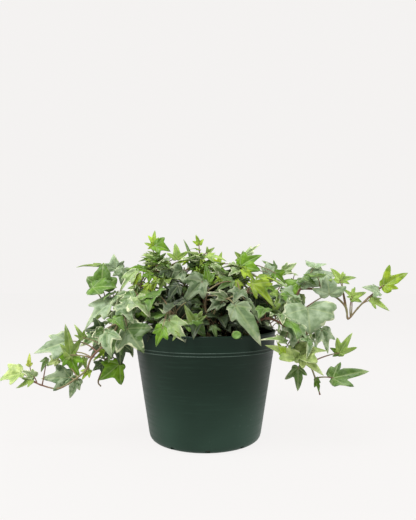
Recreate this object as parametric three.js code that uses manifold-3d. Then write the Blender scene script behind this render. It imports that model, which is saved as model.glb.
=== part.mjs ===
// A potted trailing ivy: a moulded plastic nursery pot, the soil in it, and the rooted vines.
// Millimetres, +Z up, origin at the centre of the pot's flat base, the front towards -Y.
import * as THREE from "three";
import { mergeVertices } from "three/addons/utils/BufferGeometryUtils.js";
import Module from "manifold-3d";

// ---- driving dimensions ----
const potHeight = 118;
const rimRadius = 76.4;
const bandFoot = 100;
const wallTopRadius = 75.1;
const wallFootRadius = 61.2;
const wallFootHeight = 7.5;
const baseRadius = 52.5;
const wallThickness = 1.6;
const floorThickness = 2.2;
const slotCount = 10;
const slotWidth = 5;
const slotHeight = 4.5;
const soilTop = 105;
const soilGap = 0.4;
const stemRadius = 1.3;
const stalkRadius = 0.75;
const bladeThickness = 0.9;
const clearance = 0.35;

const wasm = await Module();
wasm.setup();

const v = (p) => new THREE.Vector3(p[0], p[1], p[2]);
const up = new THREE.Vector3(0, 0, 1);

// One closed manifold solid from a three.js geometry.
function toSolid(geometry) {
  const plain = geometry.index ? geometry.toNonIndexed() : geometry.clone();
  plain.deleteAttribute("normal");
  plain.deleteAttribute("uv");
  const merged = mergeVertices(plain, 1e-4);
  return new wasm.Manifold(
    new wasm.Mesh({
      numProp: 3,
      vertProperties: merged.attributes.position.array,
      triVerts: new Uint32Array(merged.index.array),
    }),
  );
}

function toGeometry(solid) {
  const mesh = solid.getMesh();
  const geometry = new THREE.BufferGeometry();
  geometry.setAttribute("position", new THREE.BufferAttribute(mesh.vertProperties, 3));
  geometry.setIndex(new THREE.BufferAttribute(mesh.triVerts, 1));
  const faceted = geometry.toNonIndexed();
  faceted.computeVertexNormals();
  return faceted;
}

function finish(name, solid, colour, roughness) {
  const material = new THREE.MeshStandardMaterial({ color: colour, roughness, metalness: 0 });
  const mesh = new THREE.Mesh(toGeometry(solid), material);
  mesh.name = name;
  return mesh;
}

// ---- pot ----
function lathe(profile, segments) {
  const points = profile.map(([r, z]) => new THREE.Vector2(r, z));
  const geometry = new THREE.LatheGeometry(points, segments);
  geometry.rotateX(Math.PI / 2);
  return toSolid(geometry);
}

function potShell() {
  const profile = [
    [0, 0],
    [baseRadius, 0],
    [57.2, 1],
    [60.2, 3.6],
    [wallFootRadius, wallFootHeight],
    [wallTopRadius, bandFoot - 0.6],
    [wallTopRadius + 0.7, bandFoot],
    [wallTopRadius + 0.7, bandFoot + 0.9],
    [wallTopRadius + 0.2, bandFoot + 1.5],
    [wallTopRadius + 0.3, bandFoot + 3],
    [wallTopRadius + 0.9, bandFoot + 3.6],
    [rimRadius - 0.2, potHeight - 2.4],
    [rimRadius + 0.5, potHeight - 1.6],
    [rimRadius + 0.5, potHeight - 0.5],
    [rimRadius, potHeight],
    [rimRadius - wallThickness, potHeight],
    [wallTopRadius - wallThickness, bandFoot],
    [wallFootRadius - wallThickness, wallFootHeight + 1],
    [58, 3.4],
    [54.5, floorThickness],
    [0, floorThickness],
  ];
  return lathe(profile, 32);
}

// One drain slot through the bottom corner, turned round the axis.
function drainSlot(index) {
  const slot = new THREE.BoxGeometry(slotWidth, 10, slotHeight * 2);
  slot.translate(0, -60, 0);
  slot.rotateZ(THREE.MathUtils.degToRad(2.5) + (index * 2 * Math.PI) / slotCount);
  return toSolid(slot);
}

function pot() {
  let shell = potShell();
  for (let i = 0; i < slotCount; i++) {
    shell = shell.subtract(drainSlot(i));
  }
  return shell;
}

// The soil fills the pot with a gentle mound, clear of the wall and the floor.
function soil() {
  const wallAt = (z) => {
    const share = (z - wallFootHeight) / (bandFoot - wallFootHeight);
    return THREE.MathUtils.lerp(wallFootRadius, wallTopRadius, share) - wallThickness - soilGap;
  };
  const profile = [
    [0, floorThickness + soilGap],
    [53, floorThickness + soilGap],
    [57, 6],
    [wallAt(14), 14],
    [wallAt(bandFoot - 7), bandFoot - 7],
    [wallAt(bandFoot) - 0.2, soilTop - 3],
    [60, soilTop - 0.8],
    [30, soilTop],
    [0, soilTop],
  ];
  return lathe(profile, 24);
}

// ---- vines ----
// Each vine has the points its stem passes through, from the soil outwards, and its leaves:
// where the stalk meets the blade, where the middle lobe ends, the way the blade faces, its width
// as a share of the usual, and for a long stalk the share along the stem where it starts.
const toFront = [0, -1, 0.25];
const toSky = [0, -0.35, 1];
const slant = [0, -0.8, 0.7];

const vines = {
  runner_left_long: {
    route: [
      [-26, -20, soilTop + 1], [-35, -26, 134], [-50, -30, 151], [-68, -36, 150], [-82, -42, 136],
      [-97, -47, 112], [-113, -50, 95], [-120, -49, 81], [-137, -46, 68], [-150, -44, 62],
      [-168, -40, 65], [-182, -38, 71],
    ],
    leaves: [
      [[-188, -40, 77], [-211, -46, 74], [0, -0.7, 0.7], 1.1],
      [[-180, -38, 84], [-181, -38, 96], toFront],
      [[-175, -38, 73], [-187, -42, 82], toFront, 0.9],
      [[-177, -40, 70], [-191, -44, 62], slant],
      [[-142, -34, 109], [-176, -44, 97], [-0.2, -0.9, 0.5], 0.95],
      [[-162, -38, 91], [-168, -42, 79], toFront, 0.8],
      [[-136, -45, 95], [-137, -48, 129], [0.2, -1, 0.1], 0.7],
      [[-138, -42, 98], [-130, -44, 73], toFront, 0.9],
      [[-150, -40, 91], [-163, -43, 86], toFront, 0.9],
      [[-138, -39, 72], [-168, -42, 73], toFront, 0.9],
      [[-130, -41, 71], [-140, -44, 53], toFront, 0.95],
      [[-123, -46, 113], [-130, -50, 127], toFront, 0.8],
      [[-117, -45, 81], [-125, -50, 73], toFront, 0.9],
      [[-84, -46, 117], [-102, -52, 93], slant, 0.9],
      [[-77, -55, 124], [-61, -66, 101], [-0.3, -0.9, 0.4], 1.15],
      [[-73, -38, 153], [-94, -50, 131], [-0.3, -0.8, 0.6], 0.9],
      [[-101, -50, 122], [-108, -54, 104], toFront, 0.75],
    ],
  },
  runner_left_hanging: {
    route: [
      [-42, 0, soilTop + 1], [-52, 1, 124], [-72, -2, 134], [-90, -8, 129], [-99, -14, 109],
      [-105, -18, 87], [-113, -22, 66], [-110, -24, 60],
    ],
    leaves: [
      [[-99, -16, 149], [-130, -32, 132], [-0.2, -0.6, 0.9], 0.75],
      [[-106, -10, 140], [-122, -18, 129], slant],
      [[-107, -30, 120], [-125, -34, 123], toFront, 1.1],
      [[-110, -34, 114], [-129, -40, 105], slant, 0.9],
      [[-88, -30, 107], [-89, -36, 84], toFront, 1.1],
      [[-90, -26, 84], [-110, -32, 66], toFront, 1.05],
      [[-84, -10, 104], [-77, -14, 91], [0.3, -0.9, 0.3]],
      [[-107, -28, 85], [-118, -32, 78], toFront],
      [[-105, -24, 97], [-116, -30, 88], slant, 0.9],
      [[-126, -28, 90], [-134, -32, 77], toFront, 0.8],
    ],
  },
  shoot_left: {
    route: [[-33, 20, soilTop + 1], [-50, 20, 131], [-78, 12, 146], [-98, 4, 149], [-113, -2, 147]],
    leaves: [
      [[-113, -4, 164], [-113, -10, 188], toFront, 1.2],
      [[-122, -10, 164], [-95, -16, 168], slant, 0.8],
      [[-76, -6, 182], [-95, -14, 162], slant, 0.55],
      [[-67, 0, 184], [-86, -4, 190], [0, -0.7, 0.7], 0.6],
      [[-84, -18, 158], [-102, -24, 151], toSky, 0.9],
      [[-80, -16, 152], [-92, -24, 158], slant, 0.8],
      [[-72, -8, 179], [-78, -14, 163], toFront, 0.6],
      [[-60, -14, 168], [-69, -20, 155], toFront, 0.8],
      [[-74, -18, 165], [-84, -24, 154], toFront, 0.8],
    ],
  },
  shoot_left_back: {
    route: [[-26, 40, soilTop + 1], [-46, 42, 135], [-74, 36, 163], [-98, 26, 176]],
    leaves: [
      [[-116, 8, 187], [-143, 4, 189], toSky, 0.6],
      [[-101, 12, 185], [-104, 8, 201], toFront, 1.5],
      [[-90, 4, 185], [-92, -6, 171], toFront, 1.2],
      [[-64, 20, 184], [-66, 16, 197], toFront, 1.1],
      [[-49, 4, 197], [-67, 0, 195], toFront, 0.5],
      [[-50, 24, 190], [-40, 22, 200], toFront, 0.8],
    ],
  },
  shoot_top_left: {
    route: [[-30, 2, soilTop + 1], [-36, 5, 133], [-44, 6, 163], [-54, 2, 191], [-58, 0, 207]],
    leaves: [
      [[-57, 0, 213], [-56, 0, 229], toFront, 0.85],
      [[-58, 0, 209], [-66, -2, 214], toFront, 1.1],
      [[-54, -4, 210], [-38, -10, 206], [0, -0.9, 0.4], 1.1],
      [[-31, -8, 195], [-31, -8, 212], [0.3, -0.9, 0.3], 1.3],
      [[-40, -8, 191], [-59, -12, 183], toFront, 0.5],
      [[-18, -6, 195], [-34, -10, 188], toFront, 0.5],
      [[-40, -8, 185], [-51, -14, 172], toFront, 0.9],
      [[-25, -12, 182], [-38, -18, 169], toFront, 1.1],
      [[-59, -12, 180], [-62, -16, 169], toFront, 1.1],
      [[-51, -18, 173], [-58, -24, 159], toFront, 0.8],
      [[-44, -20, 172], [-50, -26, 161], toFront, 0.9],
      [[-28, -28, 166], [-42, -36, 153], slant, 1.1],
    ],
  },
  shoot_top_middle: {
    route: [[-5, 8, soilTop + 1], [-3, 8, 133], [-1, 4, 163], [-4, 4, 191], [-7, 5, 207]],
    leaves: [
      [[-12, -10, 180], [-21, -4, 219], [0.7, -0.8, 0.2], 0.42],
      [[-4, -18, 169], [-6, -12, 204], [0.4, -0.9, 0.1], 0.42],
      [[3, -24, 169], [2, -20, 192], toFront, 0.7],
      [[3, 2, 202], [10, 0, 209], toFront],
      [[-7, 5, 212], [-9, 5, 223], toFront],
      [[-6, 4, 206], [-16, 2, 210], toSky, 0.8],
      [[2, -2, 199], [23, -8, 197], [0, -0.7, 0.7], 0.8],
      [[3, -6, 190], [28, -14, 185], [0, -0.8, 0.6], 0.7],
      [[8, -14, 188], [25, -20, 180], [0, -0.8, 0.6], 0.5],
      [[20, -22, 173], [3, -28, 170], slant, 0.6],
      [[20, -16, 177], [6, -22, 181], slant, 0.5],
      [[29, -8, 190], [34, -14, 181], toFront, 0.7],
    ],
  },
  shoot_front_middle: {
    route: [[0, -36, soilTop + 1], [4, -40, 125], [0, -42, 145], [3, -44, 163]],
    leaves: [
      [[-3, -42, 171], [-22, -54, 151], toFront, 0.9],
      [[-10, -62, 126], [-18, -68, 148], toFront, 0.95],
      [[-8, -64, 130], [1, -68, 138], toFront, 0.8],
      [[17, -50, 149], [0, -57, 143], slant, 0.7],
      [[21, -48, 153], [5, -54, 163], slant, 0.6],
      [[28, -28, 171], [12, -36, 160], slant],
      [[8, -62, 127], [10, -70, 116], toFront],
    ],
  },
  shoot_front_left: {
    route: [[-27, -44, soilTop + 1], [-29, -50, 125], [-32, -58, 139], [-36, -63, 143]],
    leaves: [
      [[-35, -68, 133], [-19, -80, 112], toFront, 0.9],
      [[-34, -66, 135], [-44, -64, 147], toFront, 0.45],
      [[-40, -78, 127], [-45, -86, 110], toFront, 0.8],
      [[-19, -46, 150], [-29, -54, 134], toFront],
      [[-42, -50, 131], [-56, -54, 134], slant, 0.6],
      [[-47, -44, 156], [-55, -50, 148], toFront, 1.1],
      [[-26, -72, 122], [-30, -78, 115], toFront, 0.9],
    ],
  },
  shoot_front_right: {
    route: [
      [15, -40, soilTop + 1], [12, -48, 124], [8, -50, 136], [16, -49, 149], [27, -47, 155],
      [45, -44, 160],
    ],
    leaves: [
      [[29, -64, 147], [56, -84, 111], [0.2, -0.9, 0.4]],
      [[40, -56, 151], [56, -64, 133], [0.3, -0.9, 0.3], 0.7],
      [[47, -44, 168], [73, -56, 150], slant, 0.75],
      [[62, -26, 167], [77, -32, 160], slant, 0.8],
      [[33, -32, 171], [36, -38, 156], toFront, 0.7],
      [[65, -36, 148], [57, -44, 134], toFront],
      [[51, -36, 157], [52, -46, 141], toFront, 0.9],
    ],
  },
  shoot_top_right: {
    route: [[22, 12, soilTop + 1], [26, 12, 135], [34, 6, 165], [40, 2, 191]],
    leaves: [
      [[40, 0, 196], [32, -2, 203], toFront, 1.3],
      [[42, 0, 198], [64, 5, 213], [0, -0.9, 0.6], 0.3],
      [[38, -10, 187], [60, -8, 203], toFront, 0.85],
      [[70, 8, 180], [70, 12, 196], toFront, 0.95],
      [[56, -20, 175], [79, -26, 176], [0, -0.6, 0.9], 0.6],
      [[40, -18, 183], [55, -26, 172], slant, 0.8],
      [[75, -14, 180], [85, -20, 171], toFront],
      [[36, -16, 183], [24, -22, 177], slant, 0.7],
    ],
  },
  runner_right_upper: {
    route: [[40, -4, soilTop + 1], [58, -8, 129], [78, -14, 147], [92, -22, 148], [104, -28, 141]],
    leaves: [
      [[116, -20, 185], [120, -10, 196], [0, -0.8, 0.6], 1.4],
      [[104, -24, 168], [146, -26, 187], [0.2, -0.8, 0.6], 0.5],
      [[128, -35, 157], [126, -37, 179], [0, -0.95, 0.3], 1.6, 0.98],
      [[99, -4, 179], [88, -8, 181], toSky],
      [[95, -22, 157], [72, -34, 155], slant, 0.8],
      [[100, -16, 169], [82, -22, 162], slant],
      [[80, -30, 136], [92, -36, 141], slant, 0.9],
    ],
  },
  runner_right_long: {
    route: [
      [40, 20, soilTop + 1], [58, 17, 139], [84, 2, 157], [112, -16, 163], [133, -30, 156],
      [145, -35, 144], [147, -36, 132], [157, -36, 143], [168, -36, 154], [182, -36, 165],
    ],
    leaves: [
      [[140, -33, 171], [130, -36, 185], toFront, 1.1, 0.66],
      [[141, -33, 172], [156, -36, 177], toFront, 0.8, 0.67],
      [[150, -36, 154], [166, -39, 161], toFront, 1, 0.7],
      [[151, -37, 155], [143, -40, 164], toFront, 0.9, 0.71],
      [[178, -38, 160], [163, -42, 167], slant, 1.1, 0.8],
      [[170, -38, 152], [188, -43, 142], [0, -0.9, 0.5], 0.9, 0.77],
      [[183, -37, 166], [208, -40, 183], toFront, 0.95],
    ],
  },
  runner_right_drooping: {
    route: [
      [42, -30, soilTop + 1], [50, -36, 125], [64, -42, 133], [82, -46, 124], [95, -47, 107],
      [106, -46, 86], [112, -45, 70], [116, -45, 56],
    ],
    leaves: [
      [[104, -42, 143], [105, -58, 118], [0, -0.8, 0.7], 1.6],
      [[118, -44, 122], [125, -50, 100], [0.2, -0.9, 0.3], 0.85],
      [[90, -60, 98], [117, -66, 110], [0, -0.7, 0.8], 0.95],
      [[94, -58, 95], [113, -68, 81], [0, -0.7, 0.8], 0.9],
      [[88, -62, 96], [61, -72, 114], [0, -0.9, 0.4], 0.5],
      [[77, -66, 112], [58, -74, 121], slant, 0.45],
      [[76, -66, 101], [70, -72, 111], toFront, 0.9],
      [[91, -54, 109], [80, -60, 101], toFront, 0.9],
      [[92, -54, 85], [92, -58, 61], toFront, 0.95],
      [[128, -47, 73], [161, -54, 84], slant, 0.9],
      [[136, -42, 97], [148, -47, 119], toFront, 0.8],
      [[137, -40, 97], [128, -44, 102], toFront, 1.1],
      [[112, -46, 72], [115, -48, 59], toFront, 0.6],
    ],
  },
  shoot_crown_left: {
    route: [[-16, 24, soilTop + 1], [-20, 26, 135], [-24, 24, 163], [-24, 20, 187]],
    leaves: [],
  },
  shoot_crown_right: {
    route: [[14, -6, soilTop + 1], [17, -8, 130], [21, -8, 156], [21, -6, 182]],
    leaves: [],
  },
  shoot_middle_back: {
    route: [[6, 30, soilTop + 1], [8, 38, 135], [6, 44, 165], [2, 46, 193]],
    leaves: [
      [[0, 40, 190], [-15, 34, 198], toFront, 0.9],
      [[15, 42, 190], [19, 38, 205], toFront],
      [[12, 38, 178], [28, 34, 184], toFront],
    ],
  },
  shoot_right_back: {
    route: [[32, 42, soilTop + 1], [46, 50, 137], [66, 54, 161], [86, 52, 175]],
    leaves: [
      [[94, 44, 184], [110, 38, 192], toFront, 0.9],
      [[84, 42, 186], [70, 36, 195], toFront, 0.9],
    ],
  },
  runner_back_left: {
    route: [[-20, 54, soilTop + 1], [-36, 74, 135], [-56, 98, 139], [-76, 118, 119], [-88, 130, 93]],
    leaves: [],
  },
  runner_back_middle: {
    route: [[4, 58, soilTop + 1], [6, 82, 137], [8, 110, 143], [8, 136, 123], [10, 150, 97]],
    leaves: [],
  },
  runner_back_right: {
    route: [[26, 56, soilTop + 1], [44, 76, 135], [64, 96, 139], [84, 114, 121], [96, 124, 95]],
    leaves: [],
  },
  runner_side_left: {
    route: [[-48, 30, soilTop + 1], [-66, 44, 131], [-92, 60, 133], [-114, 72, 115], [-126, 78, 93]],
    leaves: [],
  },
  runner_side_right: {
    route: [[54, 30, soilTop + 1], [76, 44, 133], [102, 58, 133], [122, 68, 113], [132, 72, 91]],
    leaves: [],
  },
};

// A smooth path through the points of a route.
function routeCurve(route) {
  return new THREE.CatmullRomCurve3(route.map(v), false, "catmullrom", 0.5);
}

function polygon(radius, sides) {
  const shape = new THREE.Shape();
  for (let i = 0; i < sides; i++) {
    const a = (i * 2 * Math.PI) / sides;
    const x = radius * Math.cos(a);
    const y = radius * Math.sin(a);
    if (i === 0) shape.moveTo(x, y);
    else shape.lineTo(x, y);
  }
  return shape;
}

function tube(curve, radius, sides, steps) {
  const options = { steps, extrudePath: curve, bevelEnabled: false };
  return toSolid(new THREE.ExtrudeGeometry(polygon(radius, sides), options));
}

function stem(vine, extra) {
  const curve = routeCurve(vine.route);
  return tube(curve, stemRadius + extra, 4, Math.round(vine.route.length * 1.4));
}

// The five-lobed outline of a leaf one unit long, from its stalk at the origin to its tip.
const halfOutline = [
  [0.36, -0.26],
  [0.34, 0.05],
  [0.66, 0.3],
  [0.23, 0.4],
];
// The simpler three-lobed outline of the small leaves.
const smallHalfOutline = [
  [0.28, -0.14],
  [0.52, 0.22],
  [0.2, 0.4],
];

function bladeShape(half, size, width) {
  const shape = new THREE.Shape();
  shape.moveTo(0, 0);
  half.forEach(([x, y]) => shape.lineTo(x * size * width, y * size));
  shape.lineTo(0, size);
  half
    .slice()
    .reverse()
    .forEach(([x, y]) => shape.lineTo(-x * size * width, y * size));
  return shape;
}

// A flat blade from its heart to its tip, turned to face as asked.
function blade(leaf, extra) {
  const along = leaf.tip.clone().sub(leaf.heart);
  const size = along.length() + 2 * extra;
  along.normalize();
  const facing = leaf.face.clone().addScaledVector(along, -leaf.face.dot(along)).normalize();
  const across = along.clone().cross(facing);
  const half = leaf.small ? smallHalfOutline : halfOutline;
  const thickness = bladeThickness + 2 * extra;
  const options = { depth: thickness, bevelEnabled: false, steps: 1 };
  const shape = bladeShape(half, size, leaf.width);
  const geometry = new THREE.ExtrudeGeometry(shape, options);
  geometry.translate(0, -extra, -thickness / 2);
  geometry.applyMatrix4(new THREE.Matrix4().makeBasis(across, along, facing));
  geometry.translate(leaf.heart.x, leaf.heart.y, leaf.heart.z);
  return toSolid(geometry);
}

// The stalk from the stem's centre line to just inside the blade.
function stalk(leaf, extra) {
  const along = leaf.tip.clone().sub(leaf.heart).normalize();
  const end = leaf.heart.clone().addScaledVector(along, 3);
  return tube(new THREE.LineCurve3(leaf.root, end), stalkRadius + extra, 3, 1);
}

function leafSolid(leaf, extra) {
  return blade(leaf, extra).add(stalk(leaf, extra));
}

// Where on the stem a leaf's stalk starts: a little before the point nearest to its heart.
function stalkRoot(curve, heart) {
  const steps = 60;
  let best = 1;
  let nearest = Infinity;
  for (let i = 6; i <= steps; i++) {
    const distance = curve.getPoint(i / steps).distanceTo(heart);
    if (distance < nearest) {
      nearest = distance;
      best = i;
    }
  }
  return curve.getPoint(Math.min(0.985, Math.max(0.1, (best - 2) / steps)));
}

function namedLeaves(vine) {
  const curve = routeCurve(vine.route);
  return vine.leaves.map(([heart, tip, face, width = 1, start = 0]) => ({
    heart: v(heart),
    tip: v(tip),
    face: v(face),
    width,
    small: v(heart).distanceTo(v(tip)) < 18,
    root: start ? curve.getPoint(start) : stalkRoot(curve, v(heart)),
  }));
}

// A repeatable share between 0 and 1 for a number.
function share(n) {
  const s = Math.sin(n * 12.9898) * 43758.5453;
  return s - Math.floor(s);
}

// Smaller leaves along the stem, alternately to its left and right, held up and outwards.
function fillLeaves(vine, vineNumber) {
  const curve = routeCurve(vine.route);
  const count = vine.leaves.length ? 2 : 8;
  const leaves = [];
  for (let k = 0; k < count; k++) {
    const seed = vineNumber * 31 + k * 7;
    const at = 0.3 + (0.66 * (k + 0.5)) / count;
    const root = curve.getPoint(at);
    const tangent = curve.getTangent(at);
    const side = tangent.clone().cross(up).normalize();
    side.multiplyScalar(k % 2 ? 1 : -1);
    const outward = new THREE.Vector3(root.x, root.y, 0).normalize();
    const hold = side.clone().addScaledVector(up, 0.5 + 0.5 * share(seed));
    hold.addScaledVector(outward, 0.5 * share(seed + 1)).normalize();
    const heart = root.clone().addScaledVector(hold, 13 + 9 * share(seed + 2));
    const reach = side.clone().multiplyScalar(0.5).addScaledVector(outward, 0.8);
    reach.addScaledVector(up, -0.1 - 0.7 * share(seed + 3)).normalize();
    const size = 19 + 11 * share(seed + 4);
    leaves.push({
      heart,
      tip: heart.clone().addScaledVector(reach, size),
      face: up.clone().addScaledVector(outward, 0.6),
      width: 1,
      small: true,
      root,
    });
  }
  return leaves;
}

function boxesApart(a, b) {
  return [0, 1, 2].some((i) => a.min[i] > b.max[i] || b.min[i] > a.max[i]);
}

function touches(solid, others) {
  const box = solid.boundingBox();
  return others.some(
    (other) => !boxesApart(box, other.boundingBox()) && !solid.intersect(other).isEmpty(),
  );
}

// The same leaf moved a little, to lie clear of its neighbours.
const shifts = [
  [0, 0, 0], [0, -3, 1], [0, 3, 1], [0, 0, 4], [0, -6, 2], [0, 6, 2], [3, 0, 3], [-3, 0, 3],
  [0, -9, 3], [0, 9, 3], [5, 0, -3], [-5, 0, -3], [0, 0, 8], [0, -12, 0],
];

function moved(leaf, shift) {
  const by = v(shift);
  return { ...leaf, heart: leaf.heart.clone().add(by), tip: leaf.tip.clone().add(by) };
}

// Puts a leaf where it is clear of every other node, or leaves it out.
function place(plant, name, leaf, obstacles) {
  const others = obstacles.concat(
    ...Object.keys(plant)
      .filter((other) => other !== name)
      .map((other) => plant[other]),
  );
  for (const shift of shifts) {
    const tried = moved(leaf, shift);
    if (!touches(leafSolid(tried, clearance), others)) {
      plant[name].push(leafSolid(tried, 0));
      return true;
    }
  }
  return false;
}

function checkStems(plant) {
  const names = Object.keys(plant);
  names.forEach((name, i) => {
    const fat = stem(vines[name], clearance);
    const others = names.slice(i + 1).filter((other) => touches(fat, plant[other]));
    if (others.length) throw new Error(name + " crosses " + others.join(", "));
  });
}

function growVines(obstacles) {
  const plant = {};
  const names = Object.keys(vines);
  names.forEach((name) => {
    plant[name] = [stem(vines[name], 0)];
  });
  checkStems(plant);
  names.forEach((name) => {
    namedLeaves(vines[name]).forEach((leaf) => place(plant, name, leaf, obstacles));
  });
  names.forEach((name, i) => {
    fillLeaves(vines[name], i).forEach((leaf) => place(plant, name, leaf, obstacles));
  });
  return plant;
}

// The small round-leaved seedling at the front rim.
function seedling() {
  const curve = new THREE.CatmullRomCurve3([
    v([24, -60, soilTop - 0.4]), v([25, -66, 115]), v([27, -74, 122.5]), v([29.2, -79, 121]),
  ]);
  const leaf = new THREE.SphereGeometry(4.4, 10, 6);
  leaf.scale(1, 0.25, 0.85);
  leaf.translate(29.4, -79.5, 120);
  return tube(curve, 0.8, 5, 6).add(toSolid(leaf));
}

function barkChip(size, turn, spot) {
  const chip = new THREE.BoxGeometry(size, size * 0.6, size * 0.35);
  chip.rotateZ(turn);
  chip.translate(spot[0], spot[1], spot[2]);
  return toSolid(chip);
}

// ---- assembly ----
const potSolid = pot();
const soilSolid = soil();
const seedlingSolid = seedling();
const chips = [
  barkChip(9, 0.4, [-52, -30, soilTop + 1.4]),
  barkChip(7, 1.2, [60, 10, soilTop + 0.9]),
  barkChip(8, -0.5, [-36, -54, soilTop + 1]),
  barkChip(6, 0.9, [-60, 12, soilTop + 0.8]),
];
const obstacles = [potSolid, soilSolid, seedlingSolid, ...chips];
const plant = growVines(obstacles);

const root = new THREE.Group();
root.name = "potted_ivy";
root.add(finish("pot", potSolid, 0x26382f, 0.5));
root.add(finish("soil", soilSolid, 0x2a211b, 0.95));
root.add(finish("seedling", seedlingSolid, 0x6f9a3a, 0.5));
chips.forEach((chip, i) => {
  root.add(finish("bark_chip_" + (i + 1), chip, 0x5a4130, 0.9));
});
Object.entries(plant).forEach(([name, solids], i) => {
  const whole = wasm.Manifold.union(solids).simplify(0.03);
  const colour = new THREE.Color().setHSL(0.24 + 0.05 * share(i), 0.35, 0.3 + 0.12 * share(i + 9));
  root.add(finish(name, whole, colour, 0.5));
});

export default root;
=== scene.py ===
import math

import bmesh
import bpy
from mathutils import Matrix, Vector, noise


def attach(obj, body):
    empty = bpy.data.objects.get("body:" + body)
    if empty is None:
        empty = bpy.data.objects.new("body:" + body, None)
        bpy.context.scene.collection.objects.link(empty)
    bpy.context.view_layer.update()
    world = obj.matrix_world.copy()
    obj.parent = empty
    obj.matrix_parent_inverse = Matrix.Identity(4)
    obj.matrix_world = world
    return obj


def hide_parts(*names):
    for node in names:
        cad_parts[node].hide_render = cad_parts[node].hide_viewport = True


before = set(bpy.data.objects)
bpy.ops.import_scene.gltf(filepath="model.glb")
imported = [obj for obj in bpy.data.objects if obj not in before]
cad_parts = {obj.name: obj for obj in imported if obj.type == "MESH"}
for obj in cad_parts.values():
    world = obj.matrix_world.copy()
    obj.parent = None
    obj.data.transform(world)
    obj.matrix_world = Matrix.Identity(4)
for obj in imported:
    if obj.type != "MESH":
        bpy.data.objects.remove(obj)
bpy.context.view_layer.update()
mm = 0.001
up = Vector((0, 0, 1))


# a repeatable share between 0 and 1 for a number
def share(number):
    value = math.sin(number * 12.9898) * 43758.5453
    return value - math.floor(value)


def between(low, high, part):
    return low + (high - low) * part


# a repeatable value between two limits
def within(limits, number):
    return between(*limits, share(number))


def metres(point):
    return Vector(point) * mm


def addObject(name, data):
    made = bpy.data.objects.new(name, data)
    bpy.context.scene.collection.objects.link(made)
    return made


def addPiece(name, mesh, replaced=()):
    piece = addObject(name, mesh)
    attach(piece, "root")
    if replaced:
        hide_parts(*replaced)
    return piece


def meshFrom(bm, name, *materials):
    mesh = bpy.data.meshes.new(name)
    bm.to_mesh(mesh)
    bm.free()
    mesh.polygons.foreach_set("use_smooth", [True] * len(mesh.polygons))
    return withMaterials(mesh, materials)


def withMaterials(mesh, materials):
    for material in materials:
        mesh.materials.append(material)
    return mesh


# the mesh of an object with its modifiers or its bevel applied; the object itself then goes
def bakedMesh(holder, name, materials):
    graph = bpy.context.evaluated_depsgraph_get()
    mesh = bpy.data.meshes.new_from_object(holder.evaluated_get(graph))
    bpy.data.objects.remove(holder)
    mesh.name = name
    mesh.materials.clear()
    return withMaterials(mesh, materials)


def rotate(bm, verts, angle, axis="Z"):
    bmesh.ops.rotate(bm, verts=verts, cent=(0, 0, 0), matrix=Matrix.Rotation(angle, 3, axis))


# node building: values are set on sockets, sockets are linked
def addNode(tree, kind, settings=None, inputs=None):
    made = tree.nodes.new(kind)
    for key, value in (settings or {}).items():
        setattr(made, key, value)
    for key, value in (inputs or {}).items():
        setSocket(tree, made.inputs[key], value)
    return made


def setSocket(tree, socket, value):
    if isinstance(value, bpy.types.NodeSocket):
        tree.links.new(value, socket)
    elif isinstance(value, (tuple, list)) and socket.type == "RGBA":
        socket.default_value = (*value[:3], 1.0)
    else:
        socket.default_value = value


def newMaterial(name):
    material = bpy.data.materials.new(name)
    material.use_nodes = True
    return material, material.node_tree, material.node_tree.nodes["Principled BSDF"]


def calc(tree, operation, first, second=0.0, clamp=False):
    settings = {"operation": operation, "use_clamp": clamp}
    return addNode(tree, "ShaderNodeMath", settings, {0: first, 1: second}).outputs[0]


def plus(tree, first, second):
    return calc(tree, "ADD", first, second)


def minus(tree, first, second):
    return calc(tree, "SUBTRACT", first, second)


def times(tree, first, second):
    return calc(tree, "MULTIPLY", first, second)


def fade(tree, value, low, high, fromValue=0.0, toValue=1.0):
    inputs = {0: value, 1: low, 2: high, 3: fromValue, 4: toValue}
    return addNode(tree, "ShaderNodeMapRange", {"interpolation_type": "SMOOTHSTEP"}, inputs).outputs[0]


def mixColours(tree, amount, first, second, blend="MIX"):
    settings = {"data_type": "RGBA", "blend_type": blend}
    return addNode(tree, "ShaderNodeMix", settings, {0: amount, 6: first, 7: second}).outputs[2]


def noiseOf(tree, place, scale, detail=3.0, rough=0.55):
    inputs = {"Vector": place, "Scale": scale, "Detail": detail, "Roughness": rough}
    return addNode(tree, "ShaderNodeTexNoise", None, inputs).outputs[0]


def objectPlace(tree):
    return addNode(tree, "ShaderNodeTexCoord").outputs["Object"]


def attribute(tree, name, output="Fac"):
    return addNode(tree, "ShaderNodeAttribute", {"attribute_name": name}).outputs[output]


def setSurface(tree, shader, colour, roughness, relief, bump, specular=0.5):
    bumpInputs = {"Height": relief, "Strength": bump["strength"], "Distance": bump["distance"]}
    normal = addNode(tree, "ShaderNodeBump", None, bumpInputs).outputs[0]
    looks = {
        "Base Color": colour, "Roughness": roughness, "Normal": normal, "Specular IOR Level": specular,
    }
    for key, value in looks.items():
        setSocket(tree, shader.inputs[key], value)


# the camera stands level with the upper leaves, half a metre from the pot's axis
cameraSettings = {
    "distance": 0.53,
    "height": 0.168,
    "lens": 33.23,
    "shiftX": 0.0054,
    "shiftY": 0.046,
    "sensor": 36,
    "clip": (0.01, 50),
}


def makeCamera(settings):
    data = bpy.data.cameras.new("camera")
    data.sensor_width = settings["sensor"]
    data.lens = settings["lens"]
    data.shift_x = settings["shiftX"]
    data.shift_y = settings["shiftY"]
    data.clip_start, data.clip_end = settings["clip"]
    camera = addObject("camera", data)
    camera.location = (0, -settings["distance"], settings["height"])
    camera.rotation_euler = (math.pi / 2, 0, 0)
    bpy.context.scene.camera = camera


makeCamera(cameraSettings)


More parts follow.
